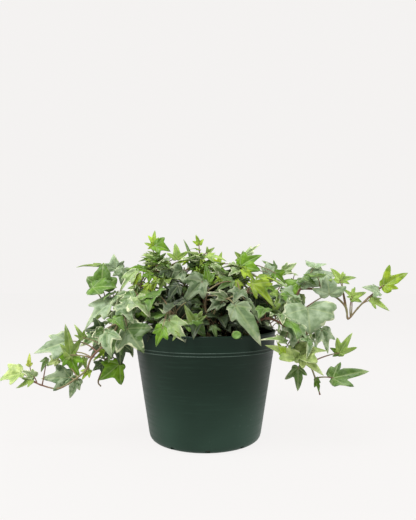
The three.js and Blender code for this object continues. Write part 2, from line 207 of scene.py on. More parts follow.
# pot: a satin moulded shell, its fine scuffs running round it, with a painted reflection of the floor low
# on it and a painted highlight along each ridge
potSettings = {
    "steps": 144,
    "colour": (0.007, 0.02, 0.012),
    "fadedAndReflected": (0.022, 0.05, 0.034),
    "scuffAndRidgeHighlight": (0.075, 0.11, 0.09),
    "roughness": (0.38, 0.5),
    "specular": 0.14,
    "bump": {"strength": 0.2, "distance": 0.0004},
    # painted reflection of the pale floor: the shell is painted lighter towards its foot
    "floorReflection": (85 * mm, 5 * mm),  # the heights where it starts and where it is thickest
    "ringScale": (26, 26, 420),
    # the ridges' heights, where a thin painted highlight runs round the shell
    "ridges": (98.6 * mm, 101.7 * mm),
    "slots": 10,
    "slotTurn": 2.5,
    "slotWidth": 5 * mm,
    "slotHeight": 4.5 * mm,
    "slotDepth": 10 * mm,
    "slotCorner": 1.2 * mm,
    "slotRadius": 60 * mm,
    "sharpFrom": 40,
    "profile": [  # radius and height in mm, from the middle of the base round to the floor
        (0, 0.5), (40, 0.5), (45, 0), (52.5, 0), (55.2, 0.35), (57.5, 1.3), (59.3, 2.7), (60.4, 4.6),
        (61.2, 7.5), (68.1, 52.5), (75.0, 97.7), (75.2, 98.1), (75.65, 98.4), (75.7, 98.8),
        (75.3, 99.2), (75.3, 100.8), (75.4, 101.1), (75.85, 101.5), (75.9, 101.9), (75.5, 102.3),
        (76.3, 115.2), (76.7, 115.9), (76.9, 116.6), (76.85, 117.4), (76.4, 117.95), (75.8, 118),
        (75.1, 117.7), (74.8, 117), (73.6, 100), (59.6, 8.5), (57.6, 3.2), (54.5, 2.2), (0, 2.2),
    ],
}


def potMaterial(settings):
    material, tree, shader = newMaterial("pottedGreenPlastic")
    place = objectPlace(tree)
    height = addNode(tree, "ShaderNodeSeparateXYZ", None, {0: place}).outputs[2]
    broad = noiseOf(tree, place, 14, 2)
    squash = addNode(tree, "ShaderNodeMapping", None, {"Vector": place, "Scale": settings["ringScale"]})
    rings = noiseOf(tree, squash.outputs[0], 1, 4, 0.6)
    grain = noiseOf(tree, place, 900, 2)
    specks = addNode(tree, "ShaderNodeTexVoronoi", None, {"Vector": place, "Scale": 160}).outputs[0]
    # painted reflection of the pale floor: lighter towards the foot, in broad patches
    floorReflection = fade(tree, height, *settings["floorReflection"], 0.0, 0.85)
    floorReflection = times(tree, floorReflection, fade(tree, broad, 0.3, 0.7, 0.6, 1.2))
    colour = mixColours(tree, floorReflection, settings["colour"], settings["fadedAndReflected"])
    colour = mixColours(tree, fade(tree, rings, 0.5, 0.75, 0, 0.3), colour, settings["fadedAndReflected"])
    # painted highlight: a thin light line along each ridge, broken by the grain; the same colour also
    # marks real scuffed specks
    for ridge in settings["ridges"]:
        off = calc(tree, "ABSOLUTE", minus(tree, height, ridge))
        line = times(tree, fade(tree, off, 0.0006, 0.0002), fade(tree, grain, 0.2, 0.6, 0.4, 0.9))
        colour = mixColours(tree, line, colour, settings["scuffAndRidgeHighlight"])
    speck = times(tree, fade(tree, specks, 0.16, 0.08), fade(tree, broad, 0.55, 0.7))
    colour = mixColours(tree, times(tree, speck, 0.35), colour, settings["scuffAndRidgeHighlight"])
    rough = fade(tree, rings, 0.3, 0.8, *settings["roughness"])
    relief = plus(tree, times(tree, rings, 0.6), times(tree, grain, 0.5))
    setSurface(tree, shader, colour, rough, relief, settings["bump"], settings["specular"])
    return material


def makePot(settings):
    bm = bmesh.new()
    points = [bm.verts.new((radius * mm, 0, height * mm)) for radius, height in settings["profile"]]
    edges = [bm.edges.new(pair) for pair in zip(points, points[1:])]
    bmesh.ops.spin(bm, geom=points + edges, axis=(0, 0, 1), cent=(0, 0, 0), angle=2 * math.pi,
                   steps=settings["steps"], use_merge=True)
    bmesh.ops.remove_doubles(bm, verts=bm.verts, dist=1e-6)
    bmesh.ops.recalc_face_normals(bm, faces=bm.faces)
    shell = addObject("potShell", meshFrom(bm, "potShell"))
    cutter = addObject("slotCutter", slotBlocks(settings))
    cut = shell.modifiers.new("slots", "BOOLEAN")
    cut.object = cutter
    cut.solver = "EXACT"
    mesh = bakedMesh(shell, "nurseryPot", [potMaterial(settings)])
    bpy.data.objects.remove(cutter)
    mesh.set_sharp_from_angle(angle=math.radians(settings["sharpFrom"]))
    addPiece("nursery_pot", mesh, ["pot"])


def slotBlocks(settings):
    width, depth, height = settings["slotWidth"], settings["slotDepth"], settings["slotHeight"]
    bm = bmesh.new()
    bmesh.ops.create_cube(bm, size=1)
    bmesh.ops.scale(bm, verts=bm.verts, vec=(width, depth, height * 2))
    long = [edge for edge in bm.edges if abs((edge.verts[0].co - edge.verts[1].co).y) > depth / 2]
    bmesh.ops.bevel(bm, geom=long, offset=settings["slotCorner"], affect="EDGES", segments=3,
                    profile=0.5, material=-1)
    bmesh.ops.translate(bm, verts=bm.verts, vec=(0, -settings["slotRadius"], 0))
    block = meshFrom(bm, "slotBlock")
    bm = bmesh.new()
    for index in range(settings["slots"]):
        start = len(bm.verts)
        bm.from_mesh(block)
        bm.verts.ensure_lookup_table()
        turn = math.radians(settings["slotTurn"]) + index * 2 * math.pi / settings["slots"]
        rotate(bm, bm.verts[start:], turn)
    return meshFrom(bm, "slotCutter")


makePot(potSettings)
print("pot done")


# soil: a crumbly mound with grit, perlite and bark on it
soilSettings = {
    "top": 105 * mm,
    "edgeRadius": 74.2 * mm,
    "fall": 1.4 * mm,
    "lumpHeight": 1.3 * mm,
    "lumpScale": 120,
    "rings": 16,
    "ringGap": 4.4 * mm,
    "footShare": 0.78,
    "footHeight": 3 * mm,
    "strewnRadius": 69 * mm,
    "dark": (0.012, 0.009, 0.006),
    "brown": (0.055, 0.036, 0.022),
    "grit": (0.12, 0.085, 0.05),
    "bump": {"strength": 0.8, "distance": 0.0015},
}
strewnLumps = {  # count, smallest and largest size in mm, and seed
    "soil_crumbs": (420, 0.8, 3.0, 11),
    "perlite_grains": (26, 0.9, 1.9, 907),
}
grainLooks = {  # light and dark colour, scale of the grain, and roughness
    "perlite": ((0.62, 0.6, 0.55), (0.36, 0.33, 0.28), 700, 0.8),
    "barkFlake": ((0.16, 0.085, 0.045), (0.045, 0.024, 0.014), 260, 0.8),
    "seedlingLeaf": ((0.16, 0.3, 0.05), (0.1, 0.21, 0.035), 500, 0.45),
}
grainBump = {"strength": 0.5, "distance": 0.0006}


def soilMaterial(settings):
    material, tree, shader = newMaterial("pottingMix")
    place = objectPlace(tree)
    coarse = noiseOf(tree, place, 160, 6, 0.7)
    fine = noiseOf(tree, place, 900, 4, 0.7)
    colour = mixColours(tree, fade(tree, coarse, 0.35, 0.7), settings["dark"], settings["brown"])
    colour = mixColours(tree, fade(tree, fine, 0.62, 0.8, 0, 0.5), colour, settings["grit"])
    relief = plus(tree, coarse, times(tree, fine, 0.4))
    setSurface(tree, shader, colour, fade(tree, coarse, 0.3, 0.7, 0.75, 0.95), relief, settings["bump"])
    return material


def plainGrain(name):
    light, dark, scale, roughness = grainLooks[name]
    material, tree, shader = newMaterial(name)
    grain = noiseOf(tree, objectPlace(tree), scale, 4, 0.6)
    colour = mixColours(tree, fade(tree, grain, 0.3, 0.7), dark, light)
    rough = fade(tree, grain, 0.3, 0.7, roughness, roughness + 0.15)
    setSurface(tree, shader, colour, rough, grain, grainBump)
    return material


def soilHeight(x, y):
    mound = soilSettings["top"] - soilSettings["fall"] * min(1, math.hypot(x, y) / (74 * mm))
    lumps = noise.fractal(Vector((x, y, 0)) * soilSettings["lumpScale"], 0.8, 2.0, 4)
    return mound + lumps * soilSettings["lumpHeight"]


def makeSoil(settings):
    bm = bmesh.new()
    bmesh.ops.create_circle(bm, cap_ends=True, segments=96, radius=settings["edgeRadius"])
    for _ in range(settings["rings"]):
        bmesh.ops.inset_region(bm, faces=[face for face in bm.faces if len(face.verts) > 4],
                               thickness=settings["ringGap"], use_even_offset=False)
    centre = [face for face in bm.faces if len(face.verts) > 4]
    bmesh.ops.poke(bm, faces=centre)
    for vert in bm.verts:
        vert.co.z = soilHeight(vert.co.x, vert.co.y)
    foot = settings["footShare"]
    rim = [edge for edge in bm.edges if edge.is_boundary]
    skirt = bmesh.ops.extrude_edge_only(bm, edges=rim)["geom"]
    for vert in (part for part in skirt if isinstance(part, bmesh.types.BMVert)):
        vert.co = Vector((vert.co.x * foot, vert.co.y * foot, settings["footHeight"]))
    low = [edge for edge in bm.edges if edge.is_boundary]
    bmesh.ops.contextual_create(bm, geom=low)
    bmesh.ops.recalc_face_normals(bm, faces=bm.faces)
    addPiece("potting_mix", meshFrom(bm, "potting_mix", soilMaterial(settings)), ["soil"])


# small lumps strewn over the soil; each keeps clear of the pot's wall
def makeStrewn(name, material):
    count, low, high, seed = strewnLumps[name]
    bm = bmesh.new()
    for index in range(count):
        base = seed + index * 5
        radius = soilSettings["strewnRadius"] * math.sqrt(share(base))
        angle = 2 * math.pi * share(base + 1)
        size = between(low, high, share(base + 2) ** 2) * mm
        x, y = radius * math.cos(angle), radius * math.sin(angle)
        lump = bmesh.ops.create_icosphere(bm, subdivisions=1, radius=size)["verts"]
        for vert in lump:
            vert.co *= within((0.7, 1.25), base + vert.index * 3.7 + 3)
        bmesh.ops.scale(bm, verts=lump, vec=(1, within((0.6, 1), base + 3), 0.6))
        rotate(bm, lump, angle * 3)
        bmesh.ops.translate(bm, verts=lump, vec=(x, y, soilHeight(x, y) + size * 0.15))
    mesh = meshFrom(bm, name, material)
    mesh.polygons.foreach_set("use_smooth", [False] * len(mesh.polygons))
    addPiece(name, mesh)


barkChips = {  # size in mm, turn, and place in mm
    "bark_chip_1": (9, 0.4, (-52, -30, 106.4)),
    "bark_chip_2": (7, 1.2, (60, 10, 105.9)),
    "bark_chip_3": (8, -0.5, (-36, -54, 106)),
    "bark_chip_4": (6, 0.9, (-60, 12, 105.8)),
}


def makeBark(node, size, turn, place, material):
    bm = bmesh.new()
    block = bmesh.ops.create_cube(bm, size=size * mm)["verts"]
    bmesh.ops.scale(bm, verts=block, vec=(1, 0.6, 0.35))
    bmesh.ops.subdivide_edges(bm, edges=bm.edges, cuts=3, use_grid_fill=True)
    for vert in bm.verts:
        push = noise.noise_vector(vert.co * 420 + Vector(place)) * 0.5 * mm
        taper = 1 - 0.35 * abs(vert.co.x) / (size * mm / 2)
        vert.co = Vector((vert.co.x, vert.co.y * taper, vert.co.z * taper)) + push
    rotate(bm, bm.verts, turn)
    bmesh.ops.translate(bm, verts=bm.verts, vec=metres(place))
    addPiece(node + "_flake", meshFrom(bm, node + "_flake", material), [node])


makeSoil(soilSettings)
makeStrewn("soil_crumbs", soilMaterial(soilSettings))
makeStrewn("perlite_grains", plainGrain("perlite"))
barkStuff = plainGrain("barkFlake")
for node, (size, turn, place) in barkChips.items():
    makeBark(node, size, turn, place, barkStuff)
print("soil done")


# vines: route points and leaves in mm. a leaf is where its stalk meets the blade, the tip
# of its middle lobe, the way it faces, its look, and its width as a share of the usual.
# a share after the width says where on the stem a long stalk starts.
# fill is how many more leaves grow along the stem, and from where to where on it.
# a vine with no list of leaves has only those and its low ones
front = (0, -1, 0.25)
sky = (0, -0.35, 1)
slant = (0, -0.8, 0.7)

vines = {}


def addVine(name, fill, route, leaves=()):
    vines[name] = {"fill": fill, "route": route, "leaves": leaves}


addVine("runner_left_long", (14, 0.12, 0.5), [
    (-26, -20, 104), (-35, -26, 134), (-50, -30, 151), (-68, -36, 150), (-82, -42, 136),
    (-97, -47, 112), (-113, -50, 95), (-120, -49, 81), (-137, -46, 68), (-150, -44, 62),
    (-168, -40, 65), (-182, -38, 71),
], [
    ((-188, -40, 77), (-211, -46, 74), (0, -0.7, 0.7), "paleLime", 1.1),
    ((-180, -38, 84), (-181, -38, 96), front, "bud", 1),
    ((-175, -38, 73), (-187, -42, 82), front, "pale", 0.9),
    ((-177, -40, 70), (-191, -44, 62), slant, "fresh", 1),
    ((-142, -34, 109), (-176, -44, 97), (-0.2, -0.9, 0.5), "silver", 0.95),
    ((-162, -38, 91), (-168, -42, 79), front, "green", 0.8),
    ((-136, -45, 95), (-137, -48, 129), (0.2, -1, 0.1), "fresh", 0.7),
    ((-138, -42, 98), (-130, -44, 73), front, "vivid", 0.9),
    ((-150, -40, 91), (-163, -43, 86), front, "paleLime", 0.9),
    ((-138, -39, 72), (-168, -42, 73), front, "grey", 0.9),
    ((-130, -41, 71), (-140, -44, 53), front, "grey", 0.95),
    ((-123, -46, 113), (-130, -50, 127), front, "fresh", 0.8),
    ((-117, -45, 81), (-125, -50, 73), front, "lime", 0.9),
    ((-84, -46, 117), (-102, -52, 93), slant, "green", 0.9),
    ((-77, -55, 124), (-61, -66, 101), (-0.3, -0.9, 0.4), "cream", 1.15),
    ((-73, -38, 153), (-94, -50, 131), (-0.3, -0.8, 0.6), "cream", 0.9),
    ((-101, -50, 122), (-108, -54, 104), front, "cream", 0.75),
])
addVine("runner_left_hanging", (14, 0.2, 0.75), [
    (-42, 0, 104), (-52, 1, 124), (-72, -2, 134), (-90, -8, 129), (-99, -14, 109),
    (-105, -18, 87), (-113, -22, 66), (-110, -24, 60),
], [
    ((-99, -16, 149), (-130, -32, 132), (-0.2, -0.6, 0.9), "silver", 0.75),
    ((-106, -10, 140), (-122, -18, 129), slant, "fresh", 1),
    ((-107, -30, 120), (-125, -34, 123), front, "dark", 1.1),
    ((-110, -34, 114), (-129, -40, 105), slant, "cream", 0.9),
    ((-88, -30, 107), (-89, -36, 84), front, "dark", 1.1),
    ((-90, -26, 84), (-110, -32, 66), front, "vivid", 1.05),
    ((-84, -10, 104), (-77, -14, 91), (0.3, -0.9, 0.3), "pale", 1),
    ((-107, -28, 85), (-118, -32, 78), front, "dark", 1),
    ((-105, -24, 97), (-116, -30, 88), slant, "lime", 0.9),
    ((-126, -28, 90), (-134, -32, 77), front, "fresh", 0.8),
])
addVine("shoot_left", (22, 0.2, 0.85), [
    (-33, 20, 104), (-50, 20, 131), (-78, 12, 146), (-98, 4, 149), (-113, -2, 147),
], [
    ((-113, -4, 164), (-113, -10, 188), front, "oval", 1.2),
    ((-122, -10, 164), (-95, -16, 168), slant, "oval", 0.8),
    ((-76, -6, 182), (-95, -14, 162), slant, "pale", 0.55),
    ((-67, 0, 184), (-86, -4, 190), (0, -0.7, 0.7), "vivid", 0.6),
    ((-84, -18, 158), (-102, -24, 151), sky, "grey", 0.9),
    ((-80, -16, 152), (-92, -24, 158), slant, "pale", 0.8),
    ((-72, -8, 179), (-78, -14, 163), front, "lime", 0.6),
    ((-60, -14, 168), (-69, -20, 155), front, "lime", 0.8),
    ((-74, -18, 165), (-84, -24, 154), front, "fresh", 0.8),
])
addVine("shoot_left_back", (22, 0.2, 0.9), [
    (-26, 40, 104), (-46, 42, 135), (-74, 36, 163), (-98, 26, 176),
], [
    ((-116, 8, 187), (-143, 4, 189), sky, "fresh", 0.6),
    ((-101, 12, 185), (-104, 8, 201), front, "silver", 1.5),
    ((-90, 4, 185), (-92, -6, 171), front, "grey", 1.2),
    ((-64, 20, 184), (-66, 16, 197), front, "pale", 1.1),
    ((-49, 4, 197), (-67, 0, 195), front, "fresh", 0.5),
    ((-50, 24, 190), (-40, 22, 200), front, "grey", 0.8),
])
addVine("shoot_top_left", (32, 0.42, 0.78), [
    (-30, 2, 104), (-36, 5, 133), (-44, 6, 163), (-54, 2, 191), (-58, 0, 207),
], [
    ((-57, 0, 213), (-56, 0, 229), front, "lime", 0.85),
    ((-58, 0, 209), (-66, -2, 214), front, "lime", 1.1),
    ((-54, -4, 210), (-38, -10, 206), (0, -0.9, 0.4), "vivid", 1.1),
    ((-31, -8, 195), (-31, -8, 212), (0.3, -0.9, 0.3), "fresh", 1.3),
    ((-40, -8, 191), (-59, -12, 183), front, "fresh", 0.5),
    ((-18, -6, 195), (-34, -10, 188), front, "lime", 0.5),
    ((-40, -8, 185), (-51, -14, 172), front, "silver", 0.9),
    ((-25, -12, 182), (-38, -18, 169), front, "grey", 1.1),
    ((-59, -12, 180), (-62, -16, 169), front, "vivid", 1.1),
    ((-51, -18, 173), (-58, -24, 159), front, "lime", 0.8),
    ((-44, -20, 172), (-50, -26, 161), front, "fresh", 0.9),
    ((-28, -28, 166), (-42, -36, 153), slant, "dark", 1.1),
])
addVine("shoot_top_middle", (36, 0.42, 0.78), [
    (-5, 8, 104), (-3, 8, 133), (-1, 4, 163), (-4, 4, 191), (-7, 5, 207),
], [
    ((-12, -10, 180), (-21, -4, 219), (0.7, -0.8, 0.2), "green", 0.42),
    ((-4, -18, 169), (-6, -12, 204), (0.4, -0.9, 0.1), "lime", 0.42),
    ((3, -24, 169), (2, -20, 192), front, "vivid", 0.7),
    ((3, 2, 202), (10, 0, 209), front, "fresh", 1),
    ((-7, 5, 212), (-9, 5, 223), front, "lime", 1),
    ((-6, 4, 206), (-16, 2, 210), sky, "lime", 0.8),
    ((2, -2, 199), (23, -8, 197), (0, -0.7, 0.7), "fresh", 0.8),
    ((3, -6, 190), (28, -14, 185), (0, -0.8, 0.6), "vivid", 0.7),
    ((8, -14, 188), (25, -20, 180), (0, -0.8, 0.6), "pale", 0.5),
    ((20, -22, 173), (3, -28, 170), slant, "lime", 0.6),
    ((20, -16, 177), (6, -22, 181), slant, "pale", 0.5),
    ((29, -8, 190), (34, -14, 181), front, "pale", 0.7),
])
addVine("shoot_front_middle", (1, 0.3, 0.6), [
    (0, -36, 104), (4, -40, 125), (0, -42, 145), (3, -44, 163),
], [
    ((-3, -42, 171), (-22, -54, 151), front, "grey", 0.9),
    ((-10, -62, 126), (-18, -68, 148), front, "fresh", 0.95),
    ((-8, -64, 130), (1, -68, 138), front, "fresh", 0.8),
    ((17, -50, 149), (0, -57, 143), slant, "grey", 0.7),
    ((21, -48, 153), (5, -54, 163), slant, "pale", 0.6),
    ((28, -28, 171), (12, -36, 160), slant, "green", 1),
    ((8, -62, 127), (10, -70, 116), front, "green", 1),
])
addVine("shoot_front_left", (2, 0.2, 0.7), [
    (-27, -44, 104), (-29, -50, 125), (-32, -58, 139), (-36, -63, 143),
], [
    ((-35, -68, 133), (-19, -80, 112), front, "pale", 0.9),
    ((-34, -66, 135), (-44, -64, 147), front, "pale", 0.45),
    ((-40, -78, 127), (-45, -86, 110), front, "vivid", 0.8),
    ((-19, -46, 150), (-29, -54, 134), front, "dark", 1),
    ((-42, -50, 131), (-56, -54, 134), slant, "pale", 0.6),
    ((-47, -44, 156), (-55, -50, 148), front, "green", 1.1),
    ((-26, -72, 122), (-30, -78, 115), front, "fresh", 0.9),
])
addVine("shoot_front_right", (2, 0.6, 0.95), [
    (15, -40, 104), (12, -48, 124), (8, -50, 136), (16, -49, 149), (27, -47, 155),
    (45, -44, 160),
], [
    ((29, -64, 147), (56, -84, 111), (0.2, -0.9, 0.4), "drape", 1),
    ((40, -56, 151), (56, -64, 133), (0.3, -0.9, 0.3), "drape", 0.7),
    ((47, -44, 168), (73, -56, 150), slant, "lime", 0.75),
    ((62, -26, 167), (77, -32, 160), slant, "vivid", 0.8),
    ((33, -32, 171), (36, -38, 156), front, "lime", 0.7),
    ((65, -36, 148), (57, -44, 134), front, "dark", 1),
    ((51, -36, 157), (52, -46, 141), front, "dark", 0.9),
])
addVine("shoot_top_right", (36, 0.45, 0.85), [
    (22, 12, 104), (26, 12, 135), (34, 6, 165), (40, 2, 191),
], [
    ((40, 0, 196), (32, -2, 203), front, "fresh", 1.3),
    ((42, 0, 198), (64, 5, 213), (0, -0.9, 0.6), "pale", 0.3),
    ((38, -10, 187), (60, -8, 203), front, "vivid", 0.85),
    ((70, 8, 180), (70, 12, 196), front, "silver", 0.95),
    ((56, -20, 175), (79, -26, 176), (0, -0.6, 0.9), "lime", 0.6),
    ((40, -18, 183), (55, -26, 172), slant, "lime", 0.8),
    ((75, -14, 180), (85, -20, 171), front, "vivid", 1),
    ((36, -16, 183), (24, -22, 177), slant, "pale", 0.7),
])
addVine("runner_right_upper", (16, 0.25, 0.85), [
    (40, -4, 104), (58, -8, 129), (78, -14, 147), (92, -22, 148), (104, -28, 141),
], [
    ((116, -20, 185), (120, -10, 196), (0, -0.8, 0.6), "silver", 1.4),
    ((104, -24, 168), (146, -26, 187), (0.2, -0.8, 0.6), "silver", 0.5),
    ((128, -35, 157), (126, -37, 179), (0, -0.95, 0.3), "silver", 1.6, 0.98),
    ((99, -4, 179), (88, -8, 181), sky, "pale", 1),
    ((95, -22, 157), (72, -34, 155), slant, "silver", 0.8),
    ((100, -16, 169), (82, -22, 162), slant, "vivid", 1),
    ((80, -30, 136), (92, -36, 141), slant, "vivid", 0.9),
])
addVine("runner_right_long", (8, 0.1, 0.4), [
    (40, 20, 104), (58, 17, 139), (84, 2, 157), (112, -16, 163), (133, -30, 156),
    (145, -35, 144), (147, -36, 132), (157, -36, 143), (168, -36, 154), (182, -36, 165),
], [
    ((140, -33, 171), (130, -36, 185), front, "fresh", 1.1, 0.66),
    ((141, -33, 172), (156, -36, 177), front, "fresh", 0.8, 0.67),
    ((150, -36, 154), (166, -39, 161), front, "fresh", 1, 0.7),
    ((151, -37, 155), (143, -40, 164), front, "fresh", 0.9, 0.71),
    ((178, -38, 160), (163, -42, 167), slant, "silver", 1.1, 0.8),
    ((170, -38, 152), (188, -43, 142), (0, -0.9, 0.5), "fresh", 0.9, 0.77),
    ((183, -37, 166), (208, -40, 183), front, "lime", 0.95),
])
addVine("runner_right_drooping", (10, 0.2, 0.6), [
    (42, -30, 104), (50, -36, 125), (64, -42, 133), (82, -46, 124), (95, -47, 107),
    (106, -46, 86), (112, -45, 70), (116, -45, 56),
], [
    ((104, -42, 143), (105, -58, 118), (0, -0.8, 0.7), "dome", 1.6),
    ((118, -44, 122), (125, -50, 100), (0.2, -0.9, 0.3), "grey", 0.85),
    ((90, -60, 98), (117, -66, 110), (0, -0.7, 0.8), "paleLime", 0.95),
    ((94, -58, 95), (113, -68, 81), (0, -0.7, 0.8), "paleLime", 0.9),
    ((88, -62, 96), (61, -72, 114), (0, -0.9, 0.4), "paleLime", 0.5),
    ((77, -66, 112), (58, -74, 121), slant, "pale", 0.45),
    ((76, -66, 101), (70, -72, 111), front, "lime", 0.9),
    ((91, -54, 109), (80, -60, 101), front, "grey", 0.9),
    ((92, -54, 85), (92, -58, 61), front, "green", 0.95),
    ((128, -47, 73), (161, -54, 84), slant, "green", 0.9),
    ((136, -42, 97), (148, -47, 119), front, "fresh", 0.8),
    ((137, -40, 97), (128, -44, 102), front, "vivid", 1.1),
    ((112, -46, 72), (115, -48, 59), front, "vivid", 0.6),
])
addVine("shoot_crown_left", (44, 0.5, 0.95), [
    (-16, 24, 104), (-20, 26, 135), (-24, 24, 163), (-24, 20, 187),
])
addVine("shoot_crown_right", (44, 0.5, 0.95), [
    (14, -6, 104), (17, -8, 130), (21, -8, 156), (21, -6, 182),
])
addVine("shoot_middle_back", (30, 0.15, 0.75), [
    (6, 30, 104), (8, 38, 135), (6, 44, 165), (2, 46, 193),
], [
    ((0, 40, 190), (-15, 34, 198), front, "fresh", 0.9),
    ((15, 42, 190), (19, 38, 205), front, "lime", 1),
    ((12, 38, 178), (28, 34, 184), front, "green", 1),
])
addVine("shoot_right_back", (22, 0.2, 0.95), [
    (32, 42, 104), (46, 50, 137), (66, 54, 161), (86, 52, 175),
], [
    ((94, 44, 184), (110, 38, 192), front, "pale", 0.9),
    ((84, 42, 186), (70, 36, 195), front, "green", 0.9),
])
addVine("runner_back_left", (30, 0.15, 1), [
    (-20, 54, 104), (-36, 74, 135), (-56, 98, 139), (-76, 118, 119), (-88, 130, 93),
])
addVine("runner_back_middle", (30, 0.15, 1), [
    (4, 58, 104), (6, 82, 137), (8, 110, 143), (8, 136, 123), (10, 150, 97),
])
addVine("runner_back_right", (30, 0.15, 1), [
    (26, 56, 104), (44, 76, 135), (64, 96, 139), (84, 114, 121), (96, 124, 95),
])
addVine("runner_side_left", (26, 0.15, 1), [
    (-48, 30, 104), (-66, 44, 131), (-92, 60, 133), (-114, 72, 115), (-126, 78, 93),
])
addVine("runner_side_right", (26, 0.15, 1), [
    (54, 30, 104), (76, 44, 133), (102, 58, 133), (122, 68, 113), (132, 72, 91),
])

# each look: the green of the blade, how wide its cream margin is, how much grey marbling it has,
# and its outline
leafLooks = {
    "lime": ((0.34, 0.49, 0.022), 0.0, 0.0, "cut"),
    "fresh": ((0.285, 0.42, 0.065), 0.2, 0.15, "cut"),
    "green": ((0.125, 0.235, 0.042), 0.15, 0.2, "cut"),
    "vivid": ((0.165, 0.33, 0.01), 0.05, 0.0, "broad"),
    "silver": ((0.33, 0.43, 0.27), 0.35, 0.5, "broad"),
    "paleLime": ((0.48, 0.58, 0.2), 0.4, 0.05, "broad"),
    "dome": ((0.34, 0.44, 0.265), 0.35, 0.2, "round"),
    "oval": ((0.125, 0.25, 0.028), 0.2, 0.1, "round"),
    "dark": ((0.028, 0.066, 0.01), 0.05, 0.1, "broad"),
    "grey": ((0.135, 0.215, 0.09), 0.45, 1.0, "broad"),
    "pale": ((0.33, 0.45, 0.17), 0.9, 0.7, "broad"),
    "cream": ((0.085, 0.165, 0.036), 0.8, 0.6, "broad"),
    "drape": ((0.19, 0.29, 0.12), 0.35, 0.9, "narrow"),
    "bud": ((0.44, 0.52, 0.06), 0.0, 0.0, "narrow"),
}
outerLooks = ["green", "cream", "fresh", "grey", "oval", "fresh", "vivid", "cream", "pale", "grey"]
innerLooks = ["dark", "green", "dark", "dark", "oval", "dark", "dark", "grey"]
crownLooks = ["lime", "fresh", "vivid", "pale", "fresh", "paleLime", "green", "silver", "lime", "vivid"]

# half of a leaf's outline, from its tip round to the notch at the stalk: degrees and radius
leafOutlines = {
    "broad": [
        (0, 1.00), (5, 0.87), (10, 0.75), (16, 0.64), (23, 0.57), (31, 0.55), (38, 0.61), (45, 0.7),
        (51, 0.75), (57, 0.67), (66, 0.53), (78, 0.43), (92, 0.42), (106, 0.4), (124, 0.31),
        (148, 0.18), (180, 0.035),
    ],
    "cut": [
        (0, 1.00), (5, 0.85), (10, 0.7), (17, 0.54), (25, 0.44), (33, 0.43), (40, 0.54), (46, 0.65),
        (51, 0.7), (57, 0.6), (66, 0.43), (80, 0.32), (96, 0.3), (110, 0.28), (128, 0.22),
        (150, 0.13), (180, 0.035),
    ],
    "round": [
        (0, 1.00), (5, 0.93), (10, 0.86), (17, 0.79), (25, 0.74), (33, 0.73), (40, 0.77), (46, 0.81),
        (51, 0.82), (58, 0.77), (67, 0.69), (79, 0.62), (93, 0.58), (107, 0.52), (125, 0.4),
        (149, 0.22), (180, 0.035),
    ],
    "narrow": [
        (0, 1.00), (5, 0.84), (11, 0.66), (18, 0.5), (27, 0.4), (35, 0.36), (42, 0.38), (48, 0.42),
        (54, 0.42), (62, 0.36), (72, 0.28), (84, 0.24), (98, 0.22), (112, 0.2), (130, 0.16),
        (152, 0.1), (180, 0.035),
    ],
}
leafSettings = {
    "spokes": 32,
    "thickness": 0.35 * mm,
    "fold": 0.3,
    "droop": 0.34,
    "pleat": 0.035,
    "pleats": 6.9,
    "wave": 0.025,
    "waves": 5,
    "curlFrom": 0.55,
    "cream": (0.64, 0.68, 0.42),
    "vein": (0.44, 0.52, 0.24),
    "veinStrength": 0.3,
    "grey": (0.3, 0.38, 0.22),
    "deep": (0.48, 0.56, 0.42),
    "underside": (0.36, 0.44, 0.24),
    "undersideShare": 0.35,
    "specular": 0.32,
    "bump": {"strength": 0.16, "distance": 0.0003},
}
lobeStarts = (30, 72, 150)  # degrees where the side lobes, the base lobes and the notch begin
leafVariety = {  # what differs from leaf to leaf: its least and its most
    "lobeTurn": (0.84, 1.06),
    "sideLobe": (0.74, 1.12),
    "baseLobe": (0.65, 1.1),
    "fold": (0.1, 1.8),
    "droop": (-0.2, 1.5),
    "lean": (-0.14, 0.14),
    "sideDroop": (-0.05, 0.5),
    "twist": (-0.4, 0.4),
    "curl": (-0.1, 0.5),
    "brightness": (0.8, 1.2),
    "cream": (0.6, 1.1),
}
crownFoot = 164 * mm  # above this height the leaves belong to the crown
shadeSettings = {"radius": 84 * mm, "foot": 100 * mm, "rise": 94 * mm, "power": 1.4, "least": 0.3}
fillerSettings = {  # least and most; stalk and size are in mm
    "stalk": (9, 24),
    "size": (14, 27),
    "stalkRise": (0.4, 1.0),
    "stalkOut": (0, 0.5),
    "crownSink": (-0.25, 0.45),
    "lowSink": (-0.8, 0.05),
    "tipOut": (-0.5, 0.8),
    "crownLean": (-0.25, 0.4),
    "lowLean": (0.1, 0.9),
    "sideLean": (-0.4, 0.4),
    "width": (0.8, 1.2),
    "crownSoftness": 0.4,
    "lookRadius": 95 * mm,
    "lookFoot": 130 * mm,
    "lookRise": 60 * mm,
    "outerFrom": 0.85,
    "outerBlur": 0.3,
}
basalSettings = {  # least and most; reach, height and size are in mm
    "count": 7,
    "at": (0.02, 0.16),
    "reach": (8, 30),
    "height": (119, 156),
    "size": (16, 27),
    "sink": (-0.5, 0.2),
    "radius": 62 * mm,
    "shade": 0.36,
}
stemSettings = {
    "radius": 1.45 * mm,
    "tipRadius": 0.7 * mm,
    "swelling": 1.28,
    "steps": 6,
    "stalkRadius": 0.55 * mm,
    "stalkTaper": (1.35, 0.85),
    "stalkSteps": 7,
    "stalkOverlap": 1.2 * mm,
    "stalkArch": 0.16,
    "stalkBack": 0.1,
    "usualLeaf": 30 * mm,
    "bump": {"strength": 0.5, "distance": 0.0004},
}


